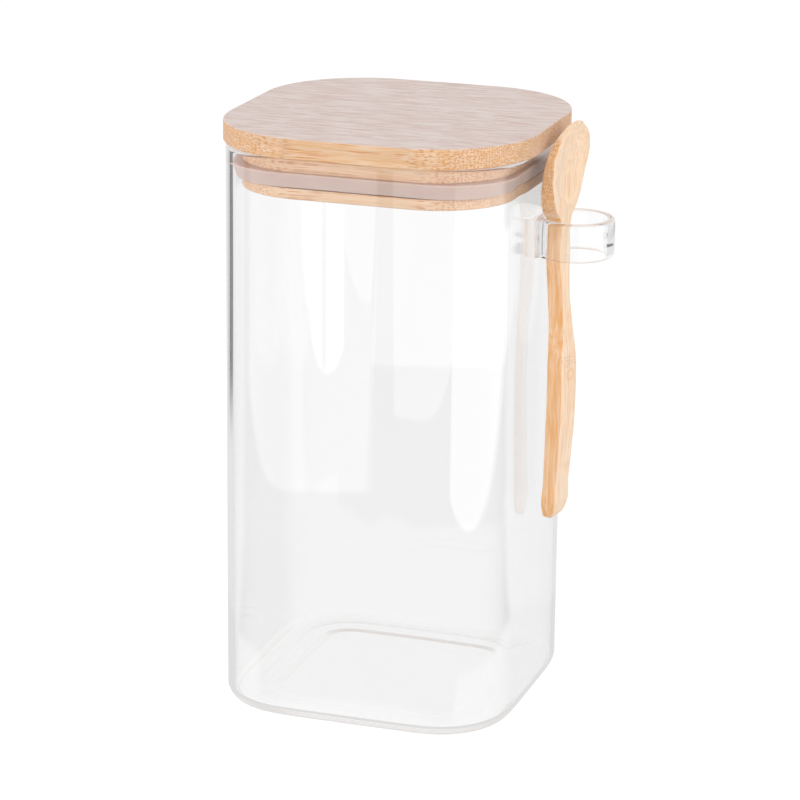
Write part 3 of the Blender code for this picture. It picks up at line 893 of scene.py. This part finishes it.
def side_dashes_and_painted_shade(tree, grain, height, streaks, colour, dots, side):
    """The colour and the dots with the spoon's two sides laid over them, darker as painted shade and
    dashed, and the sides' mask.
    """
    # Painted shade: faces that look along the side axis take the darker side colours.
    edgewise = faces_along(tree, side["axis"], *SIDE_FACES)
    side_colour_painted_darker = add_node(tree, MIX, (streaks, linear(side["pale"]), linear(side["warm"])),
                    data_type="RGBA")
    colour = add_node(tree, MIX, (edgewise, colour, side_colour_painted_darker), data_type="RGBA")
    upper = add_node(tree, RANGE, (height, side["from"], side["from"] + DASH_FADE))
    upper = add_node(tree, MATH, (edgewise, upper), operation="MULTIPLY")
    dots = add_node(tree, MIX, (upper, dots, 0.0))
    dashes = fibre_ends(tree, grain, side["cell"], "XZ", side["gaps"])
    dashes = add_node(tree, MATH, (upper, dashes), operation="MULTIPLY")
    dashes = add_node(tree, MATH, (dashes, DASH_SHARE), operation="MULTIPLY")
    colour = add_node(tree, MIX, (dashes, colour, linear(side["dark"])), data_type="RGBA")
    return colour, dots, edgewise


def knot_marks(tree, place, height, colour, dark, edgewise, knot):
    """The colour with a ring round a knot and a row of short specks beside it."""
    away = add_node(tree, VECTOR, (place, knot["centre"]), operation="SUBTRACT")
    away = add_node(tree, VECTOR, (away, knot["size"]), operation="DIVIDE")
    away = add_node(tree, VECTOR, (away,), operation="LENGTH")
    ring = between(tree, away, *KNOT_RING, KNOT_BLUR)
    ring = add_node(tree, MATH, (ring, KNOT_SHARE), operation="MULTIPLY")
    colour = add_node(tree, MIX, (ring, colour, dark), data_type="RGBA")
    row = between(tree, height, *knot["dots"], SPECK_BLUR)
    specks = fibre_ends(tree, place, knot["cell"], "YZ", knot["cell"])
    specks = add_node(tree, MATH, (row, specks), operation="MULTIPLY")
    face = add_node(tree, MATH, (1.0, edgewise), operation="SUBTRACT")
    face = add_node(tree, MATH, (face, SPECK_SHARE), operation="MULTIPLY")
    specks = add_node(tree, MATH, (specks, face), operation="MULTIPLY")
    return add_node(tree, MIX, (specks, colour, linear(SPECK_COLOUR)), data_type="RGBA")


def top_colour_and_painted_sheen(tree, grain, height, colour, top):
    """The colour with the top laid over it above one height: the top's own pale colour with painted
    sheen in it.
    """
    streaks = stretched_noise(tree, grain, top["streak"], detail=4.0, roughness=0.7)
    streaks = add_node(tree, RANGE, (streaks, *TOP_NOISE))
    # Painted sheen: the top's pale colours stand in for part of the white haze on it.
    upper = add_node(tree, MIX, (streaks, linear(top["pale"]), linear(top["dark"])),
                     data_type="RGBA")
    cover = add_node(tree, RANGE, (height, top["from"] - TOP_FADE, top["from"], 0.0,
                                   top["share"]))
    return add_node(tree, MIX, (cover, colour, upper), data_type="RGBA")


print("the dark ring round a knot is", round(KNOT_RING[1] - KNOT_RING[0], 2), "of its size wide")

# %% Bamboo finish
STREAK_NOISE = (0.38, 0.64)
LAYER_NOISE = (0.3, 0.7)
LAYER_SHADES = (0.95, 1.04)
END_FACES = (0.2, 0.5)
ROUGHNESS_SPREAD = 0.08
SANDED_RELIEF = 0.00002
BAMBOO_IOR = 1.5

def bamboo(name, colours, fibres, roughness, dot_share, relief_depth=SANDED_RELIEF,
           strip_shift=None, centre=(0, 0, 0), turn=0.0, top=None, side=None, knot=None):
    """Bamboo as a solid texture, from its pale, warm and dark colours and its fibres' sizes."""
    material, tree = new_material(name)
    pale, warm, dark = [linear(code) for code in colours]
    raw = add_node(tree, COORDINATES).outputs["Object"]
    height = add_node(tree, SPLIT, (raw,)).outputs["Z"]
    place = add_node(tree, "ShaderNodeMapping", {"Vector": raw, "Location": centre,
                                                 "Rotation": (0, 0, turn)}, vector_type="TEXTURE")
    grain = place
    shade = 1.0
    if strip_shift is not None:
        grain, shade = glued_strips(tree, place, strip_shift)
    grain = bent_grain(tree, grain)

    ends = faces_along(tree, (1, 0, 0), *END_FACES) if fibres["plane"] == "YZ" else 0.0
    dots = fibre_ends(tree, grain, fibres["cell"], fibres["plane"], fibres["gaps"], ends)
    lines = stretched_noise(tree, grain, fibres["streak"], detail=3.0, roughness=0.6)
    streaks = add_node(tree, RANGE, (lines, *STREAK_NOISE))
    colour = add_node(tree, MIX, (streaks, pale, warm), data_type="RGBA")
    if side:
        colour, dots, edgewise = side_dashes_and_painted_shade(tree, grain, height, streaks, colour, dots, side)
    dots = add_node(tree, MATH, (dots, dot_share), operation="MULTIPLY")
    colour = add_node(tree, MIX, (dots, colour, dark), data_type="RGBA")
    if knot:
        colour = knot_marks(tree, place, height, colour, dark, edgewise, knot)
    layers = stretched_noise(tree, grain, fibres["layer"])
    layers = add_node(tree, RANGE, (layers, *LAYER_NOISE, *LAYER_SHADES))
    shade = add_node(tree, MATH, (layers, shade), operation="MULTIPLY")
    colour = add_node(tree, VECTOR, (colour, shade), operation="SCALE")
    if top:
        colour = top_colour_and_painted_sheen(tree, grain, height, colour, top)

    relief = add_node(tree, MATH, (lines, dots), operation="SUBTRACT")
    bump = add_node(tree, "ShaderNodeBump", {"Height": relief, "Distance": relief_depth,
                                             "Strength": 1.0})
    matt = add_node(tree, RANGE, (lines, 0.0, 1.0, roughness - ROUGHNESS_SPREAD,
                                  roughness + ROUGHNESS_SPREAD))
    surface = add_node(tree, "ShaderNodeBsdfPrincipled", {
        "Base Color": colour, "Roughness": matt, "IOR": BAMBOO_IOR, "Normal": bump})
    add_node(tree, "ShaderNodeOutputMaterial", {"Surface": surface})
    return material


print("the relief of sanded bamboo is", SANDED_RELIEF * 1e6, "thousandths of a millimetre deep")

# %% [markdown]
# ## Three bamboo finishes
#
# The sizes are metres along X, Y and Z: cell for the fibre bundles, gaps for where they fade, streak
# for the fine stripes between them and layer for slow changes of shade. The board and the block run
# along X, and the spoon along Z, turned with it. strip_shift says where the first seam falls.
#
# The board's top is a face planed along the grain, with quiet stripes. It is paler and greyer than the
# edges: partly the wood's own colour and partly painted sheen, the white haze that a low view sees on
# a dull top. The spoon's two sawn sides show short dashes and are painted darker, as painted shade,
# and its grip has a small knot.

# %% Bamboo materials
ALONG_X = {"plane": "YZ", "cell": (1.0, 0.00072, 0.00075), "gaps": (0.006, 0.0030, 0.0009),
           "streak": (0.012, 0.0020, 0.0007), "layer": (0.060, 0.006, 0.004)}
ALONG_Z = {"plane": "XY", "cell": (0.0006, 0.0007, 1.0), "gaps": (0.0012, 0.0020, 0.005),
           "streak": (0.0009, 0.0007, 0.022), "layer": (0.0004, 0.0040, 0.030)}
TOP_STREAK = (0.012, 0.0014, 0.0014)
TOP_DEPTH = 0.0001
DASH_CELL = (0.00075, 1.0, 0.0013)
DASH_GAPS = (0.004, 1.0, 0.008)
DASHES_FROM = 0.160
SPOON_TURN = math.radians(-8.0)
SPOON_RELIEF = 0.00001
KNOT_HEIGHT = 0.1143
KNOT_ASIDE = 0.0009
KNOT_SIZE = (1.0, 0.0032, 0.0020)
SPECK_HEIGHTS = (0.1170, 0.1215)
SPECK_CELL = (0.0009, 0.0009, 0.0008)

board_low, board_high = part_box("lid_board")
# Sanded, unoiled bamboo: a soft, broad sheen, warm edges full of dots, and a pale greyish top whose
# colour holds painted sheen.
board_wood = bamboo("bamboo_sanded_board", ("#E6C5A6", "#DDAE7E", "#C87C40"), ALONG_X,
                    roughness=0.45, dot_share=0.7, strip_shift=0.39,
                    top={"from": board_high[2] - TOP_DEPTH, "pale": "#F0E3DE", "dark": "#D2B2A7",
                         "streak": TOP_STREAK, "share": 0.94})
# The block is the same wood, painted paler than the board: painted light that makes up for the
# shade it stands in, under the board and behind the glass.
block_wood = bamboo("bamboo_sanded_block", ("#F6D6B8", "#EEC49E", "#CC824A"), ALONG_X,
                    roughness=0.5, dot_share=0.6, strip_shift=0.1)
# The spoon is polished: a tighter sheen, a smoother relief, and the palest of the three. Its sides
# are painted darker, as painted shade.
spoon_wood = bamboo("bamboo_polished_spoon", ("#FFE7CE", "#FDD5AC", "#EEB074"), ALONG_Z,
                    roughness=0.42, dot_share=0.5, relief_depth=SPOON_RELIEF,
                    centre=(loop_x, 0, loop_top), turn=SPOON_TURN,
                    # The sides' colours are darker than the face's: painted shade.
                    side={"axis": (math.sin(-SPOON_TURN), math.cos(SPOON_TURN), 0.0),
                          "pale": "#F4CDA8", "warm": "#E8AE74", "cell": DASH_CELL,
                          "gaps": DASH_GAPS, "dark": "#D8924E", "from": DASHES_FROM},
                    knot={"centre": (0.0, KNOT_ASIDE, KNOT_HEIGHT - loop_top),
                          "size": KNOT_SIZE, "dots": SPECK_HEIGHTS, "cell": SPECK_CELL})
for wood in (board_wood, block_wood, spoon_wood):
    print(wood.name, "has", len(wood.node_tree.nodes), "nodes")

# %% [markdown]
# ## The lid
#
# The board overhangs the jar, and its edges were only touched with sandpaper, 0.6 mm round. The
# block under it fills the mouth and has a groove cut round it for the seal. Both are swept like the
# jar, from sections that stop a little inside the edge, where the fill takes over.

# %% Lid board and block
BOARD_CORNER = 0.0356
BOARD_ROUND = 0.0006
BLOCK_CORNER = 0.0265
BLOCK_ROUND = 0.0005
GROOVE_FLOOR = 0.0036
GROOVE_DEPTH = 0.0025
GROOVE_EDGE = 0.00003
SEAL_GAP = 0.00001
EDGE_STEPS = 6
RIM_IN = 0.0015
WOOD_STEP = 0.001

board_side = board_high[0] - board_low[0]
board_section = (
    [(-BOARD_ROUND - RIM_IN, board_high[2])]
    + arc(-BOARD_ROUND, board_high[2] - BOARD_ROUND, BOARD_ROUND, 90, 0, EDGE_STEPS)
    + arc(-BOARD_ROUND, board_low[2] + BOARD_ROUND, BOARD_ROUND, 0, -90, EDGE_STEPS)
    + [(-BOARD_ROUND - RIM_IN, board_low[2])])
board = sweep_piece("board_of_bamboo", board_section, board_side, BOARD_CORNER, board_wood,
                    WOOD_STEP)

block_low, block_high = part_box("lid_block")
block_side = block_high[0] - block_low[0]
groove_low = block_low[2] + GROOVE_FLOOR
seal_low, seal_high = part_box("lid_seal")
groove_high = seal_high[2] + SEAL_GAP
block_section = (
    [(-NEAR_CORNER - RIM_IN, block_high[2]), (-NEAR_CORNER, block_high[2]),
     (0.0, block_high[2] - NEAR_CORNER), (0.0, groove_high + GROOVE_EDGE),
     (-GROOVE_EDGE, groove_high), (-GROOVE_DEPTH, groove_high),
     (-GROOVE_DEPTH, groove_low), (-NEAR_CORNER / 2, groove_low),
     (0.0, groove_low - NEAR_CORNER / 2)]
    + arc(-BLOCK_ROUND, block_low[2] + BLOCK_ROUND, BLOCK_ROUND, 0, -90, EDGE_STEPS)
    + [(-BLOCK_ROUND - RIM_IN, block_low[2])])
block = sweep_piece("block_of_bamboo", block_section, block_side, BLOCK_CORNER, block_wood,
                    WOOD_STEP)

# %% [markdown]
# ## The seal
#
# The seal is a ring of milky silicone rubber. It is held in the groove, and its skirt leans out and
# rubs on the glass. Silicone is neither clear nor opaque: light goes in a little way, is scattered
# and comes out beside where it went in, which takes the hardness out of its shadows.

# %% Silicone
SILICONE_IOR = 1.41
CLOUD_PITCH = 0.012
DUST_PITCH = 0.0006          # real dust is finer, and this is the least that still shows
DUST_DEPTH = 0.00001
SATIN = (0.3, 0.55)
SCATTER_SHARE = 0.6
SCATTER_REACH = (0.003, 0.002, 0.0015)

def silicone(name, colour, deep_colour):
    """Milky silicone: soft light under the skin, a satin surface and a trace of fine dust."""
    material, tree = new_material(name)
    place = add_node(tree, COORDINATES).outputs["Object"]
    cloud = add_node(tree, NOISE, {"Vector": place, "Scale": 1 / CLOUD_PITCH, "Detail": 3.0})
    tint = add_node(tree, MIX, (cloud, linear(colour), linear(deep_colour)), data_type="RGBA")
    dust = add_node(tree, NOISE, {"Vector": place, "Scale": 1 / DUST_PITCH, "Detail": 2.0})
    satin = add_node(tree, RANGE, (dust, 0.0, 1.0, *SATIN))
    bump = add_node(tree, "ShaderNodeBump", {"Height": dust, "Distance": DUST_DEPTH})
    surface = add_node(tree, "ShaderNodeBsdfPrincipled", {
        "Base Color": tint, "Roughness": satin, "IOR": SILICONE_IOR,
        "Subsurface Weight": SCATTER_SHARE, "Subsurface Radius": SCATTER_REACH,
        "Subsurface Scale": 1.0, "Normal": bump})
    add_node(tree, "ShaderNodeOutputMaterial", {"Surface": surface})
    return material


seal_rubber = silicone("silicone_moulded_milky", "#DFC9C1", "#D3B9AE")
print("light goes", SCATTER_REACH[0] * 1000, "mm into", seal_rubber.name)

# %% Seal ring
SEAL_CORNER = 0.0228
SEAL_LIP = 0.0004
SEAL_LEAN = 0.0013
SEAL_PLAY = 0.0003
SEAL_STEP = 0.0006

seal_side = seal_high[0] - seal_low[0]
seal_depth = (seal_side - (block_side - 2 * GROOVE_DEPTH)) / 2 - SEAL_PLAY
seal_section = (
    [(-seal_depth, seal_low[2]), (-seal_depth, seal_high[2])]
    + arc(-SEAL_LIP, seal_high[2] - SEAL_LIP, SEAL_LIP, 90, 0, EDGE_STEPS)
    + arc(-SEAL_LEAN - SEAL_LIP, seal_low[2] + SEAL_LIP, SEAL_LIP, 0, -90, EDGE_STEPS))
seal = sweep_piece("seal_of_silicone", seal_section, seal_side, SEAL_CORNER, seal_rubber,
                   SEAL_STEP, closed=True)

# %% [markdown]
# ## The spoon
#
# The spoon is sawn from one strip of bamboo: first its wavy side profile, then its outline, then a
# shallow hollow is scooped in the bowl, and all edges are eased with sandpaper. The mesh
# follows the same two outlines. Each is a smooth closed curve through a few stations, and a ring of
# points is drawn for every step down the spoon, as wide as the one and as thick as the other.

# %% Spoon outlines
SPOON_ABOVE = 0.0315
SPOON_BELOW = 0.1032
SPOON_THICKNESS = 0.0056
SPOON_WAVE = 0.0045
BOWL_WIDTH = 0.0280
NECK_WIDTH = 0.0090
GRIP_WIDTH = 0.0122
SPOON_PLAY = 0.0003
CURVE_STEPS = 16

neck = math.sqrt((bore - SPOON_PLAY) ** 2 - (NECK_WIDTH / 2) ** 2)
seat_line = SPOON_THICKNESS / 2 - neck

def spoon_stations():
    """Height over the seat, centre line, thickness and width, from the tip down."""
    shares = (
        (1.00, 1.25, 0.16, 0.00 * BOWL_WIDTH), (0.92, 1.02, 0.36, 0.50 * BOWL_WIDTH),
        (0.80, 0.82, 0.50, 0.85 * BOWL_WIDTH), (0.64, 0.60, 0.61, 1.00 * BOWL_WIDTH),
        (0.38, 0.27, 0.78, 0.89 * BOWL_WIDTH), (0.16, 0.09, 0.94, 0.70 * BOWL_WIDTH),
        (0.05, 0.02, 1.00, 0.51 * BOWL_WIDTH), (-0.01, 0.00, 1.00, 1.00 * NECK_WIDTH),
        (-0.13, 0.00, 0.95, 0.92 * NECK_WIDTH), (-0.26, 0.13, 1.00, 0.51 * GRIP_WIDTH),
        (-0.36, 0.33, 1.00, 0.62 * GRIP_WIDTH), (-0.47, 0.49, 0.97, 0.95 * GRIP_WIDTH),
        (-0.58, 0.52, 0.98, 1.00 * GRIP_WIDTH), (-0.73, 0.43, 0.98, 0.95 * GRIP_WIDTH),
        (-0.87, 0.26, 0.87, 0.89 * GRIP_WIDTH), (-0.98, 0.12, 0.76, 0.80 * GRIP_WIDTH),
        (-1.00, 0.00, 0.44, 0.55 * GRIP_WIDTH))
    return [(share * (SPOON_ABOVE if share > 0 else SPOON_BELOW), seat_line + wave * SPOON_WAVE,
             thick * SPOON_THICKNESS, width) for share, wave, thick, width in shares]


def smooth_outline(points):
    """The points of a closed smooth curve through some knots."""
    data = bpy.data.curves.new("outline", "CURVE")
    data.dimensions = "3D"
    data.resolution_u = CURVE_STEPS
    spline = data.splines.new("BEZIER")
    spline.bezier_points.add(len(points) - 1)
    for knot, (across, up) in zip(spline.bezier_points, points):
        knot.co = (across, up, 0)
        knot.handle_left_type = "AUTO"
        knot.handle_right_type = "AUTO"
    spline.use_cyclic_u = True
    guide = bpy.data.objects.new("outline", data)
    bpy.context.scene.collection.objects.link(guide)
    state = bpy.context.evaluated_depsgraph_get()
    mesh = bpy.data.meshes.new_from_object(guide.evaluated_get(state))
    spots = np.array([vert.co[:2] for vert in mesh.vertices])
    bpy.data.objects.remove(guide, do_unlink=True)
    bpy.data.meshes.remove(mesh)
    return spots


stations = spoon_stations()
plan = smooth_outline([(width / 2, up) for up, line, thick, width in stations]
                      + [(-width / 2, up) for up, line, thick, width in reversed(stations[1:])])
profile = smooth_outline([(line + thick / 2, up) for up, line, thick, width in stations]
                         + [(line - thick / 2, up)
                            for up, line, thick, width in reversed(stations)])
print("spoon outline points:", len(plan), len(profile))

# %% Rings round the spoon
SPOON_EASE = 0.0006
EASE_LIMIT = 0.45            # an eased corner takes no more than this share of a side
EASE_STEPS = 4
LEAST_HALF = 0.0004
FACE_STEPS = 28
SIDE_STEPS = 6
HOLLOW_LENGTH = 0.0260
HOLLOW_WIDTH = 0.0205
HOLLOW_DEPTH = 0.0013
HOLLOW_CENTRE = 0.5 * SPOON_ABOVE
HOLLOW_POWER = 0.8

def outline_side(spots, right):
    """One side of a closed outline, as heights going up and how far out it is."""
    top = spots[:, 1].argmax()
    bottom = spots[:, 1].argmin()
    spots = np.roll(spots, -top, axis=0)
    bottom = (bottom - top) % len(spots)
    half = spots[:bottom + 1] if right else np.vstack((spots[bottom:], spots[:1]))
    half = half[np.argsort(half[:, 1], kind="stable")]
    return half[:, 1], half[:, 0]


plan_up, plan_out = outline_side(plan, True)
front_up, front_out = outline_side(profile, True)
back_up, back_out = outline_side(profile, False)

def hollow(across, up):
    """How deep the bowl is scooped at a place on its face."""
    radius = math.hypot(across / (HOLLOW_WIDTH / 2), (up - HOLLOW_CENTRE) / (HOLLOW_LENGTH / 2))
    return HOLLOW_DEPTH * max(1 - radius ** 2, 0) ** HOLLOW_POWER


def spoon_ring(up):
    """A ring round the spoon at one height, in the spoon's own frame."""
    half = max(np.interp(up, plan_up, plan_out), LEAST_HALF)
    front = np.interp(up, front_up, front_out)
    back = np.interp(up, back_up, back_out)
    ease = min(SPOON_EASE, EASE_LIMIT * (front - back), EASE_LIMIT * half)
    corners = [arc(x, y, ease, start, start + 90, EASE_STEPS) for x, y, start in (
        (front - ease, half - ease, 0), (back + ease, half - ease, 90),
        (back + ease, -half + ease, 180), (front - ease, -half + ease, 270))]
    points = []
    for corner, following, count in zip(corners, corners[1:] + corners[:1],
                                        (SIDE_STEPS, FACE_STEPS // 2, SIDE_STEPS, FACE_STEPS)):
        points += corner
        begin = corner[-1]
        end = following[0]
        points += [(begin[0] + (end[0] - begin[0]) * step / count,
                    begin[1] + (end[1] - begin[1]) * step / count) for step in range(1, count)]
    return [(x - (hollow(y, up) if x > (front + back) / 2 else 0), y, up) for x, y in points]


print("points in a ring:", len(spoon_ring(HOLLOW_CENTRE)))

# %% Spoon
SPOON_RINGS = 220
END_TRIM = 0.00005
SHARP_ANGLE = math.radians(50)

def skin_rings(rings):
    """A closed mesh through a stack of rings of points, with a flat cap at each end."""
    shape = bmesh.new()
    verts = [[shape.verts.new(point) for point in ring] for ring in rings]
    count = len(rings[0])
    for ring, following in zip(verts, verts[1:]):
        for number in range(count):
            after = (number + 1) % count
            shape.faces.new((ring[number], following[number], following[after], ring[after]))
    shape.faces.new(verts[0])
    shape.faces.new(verts[-1][::-1])
    bmesh.ops.recalc_face_normals(shape, faces=shape.faces)
    return shape


# The rings lie closer together towards both ends, where the outline turns fastest.
heights = []
for number in range(SPOON_RINGS + 1):
    share = (1 - math.cos(math.pi * number / SPOON_RINGS)) / 2
    share = 0.5 * share + 0.5 * number / SPOON_RINGS
    heights.append(plan_up[0] + (plan_up[-1] - plan_up[0]) * share)
heights[0] += END_TRIM
heights[-1] -= END_TRIM
seat = Matrix.Translation((loop_x, 0, loop_top)) @ Matrix.Rotation(SPOON_TURN, 4, "Z")
shape = skin_rings([[seat @ Vector(point) for point in spoon_ring(up)] for up in heights])
mesh = bpy.data.meshes.new("spoon_of_bamboo")
shape.to_mesh(mesh)
shape.free()
mesh.shade_smooth()
mesh.set_sharp_from_angle(angle=SHARP_ANGLE)
mesh.materials.append(spoon_wood)
spoon = link_piece("spoon_of_bamboo", mesh)

# %% [markdown]
# ## Handing over
#
# Each dressed piece stands for one imported piece and rides on the same body. The glass casts no
# shadow, so the lamps reach the block and the spoon through it. The spoon is hidden from reflected
# rays, because the wall beside it would otherwise show a second spoon, where the real glass shows
# only the bright room.

# %% Bodies and stand-ins
for piece, node, body, slot in (
        (jar, "glass_jar", "jar", "borosilicate_glass"),
        (loop, "glass_loop", "jar", "borosilicate_glass"),
        (board, "lid_board", "lid", "bamboo_board"),
        (block, "lid_block", "lid", "bamboo_block"),
        (seal, "lid_seal", "lid", "silicone"),
        (spoon, "spoon", "spoon", "bamboo_spoon")):
    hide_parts(node)
    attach(piece, body)
    print(piece.name, "stands for", node, "on", body)
for piece in (jar, loop):
    piece.visible_shadow = False
spoon.visible_glossy = False
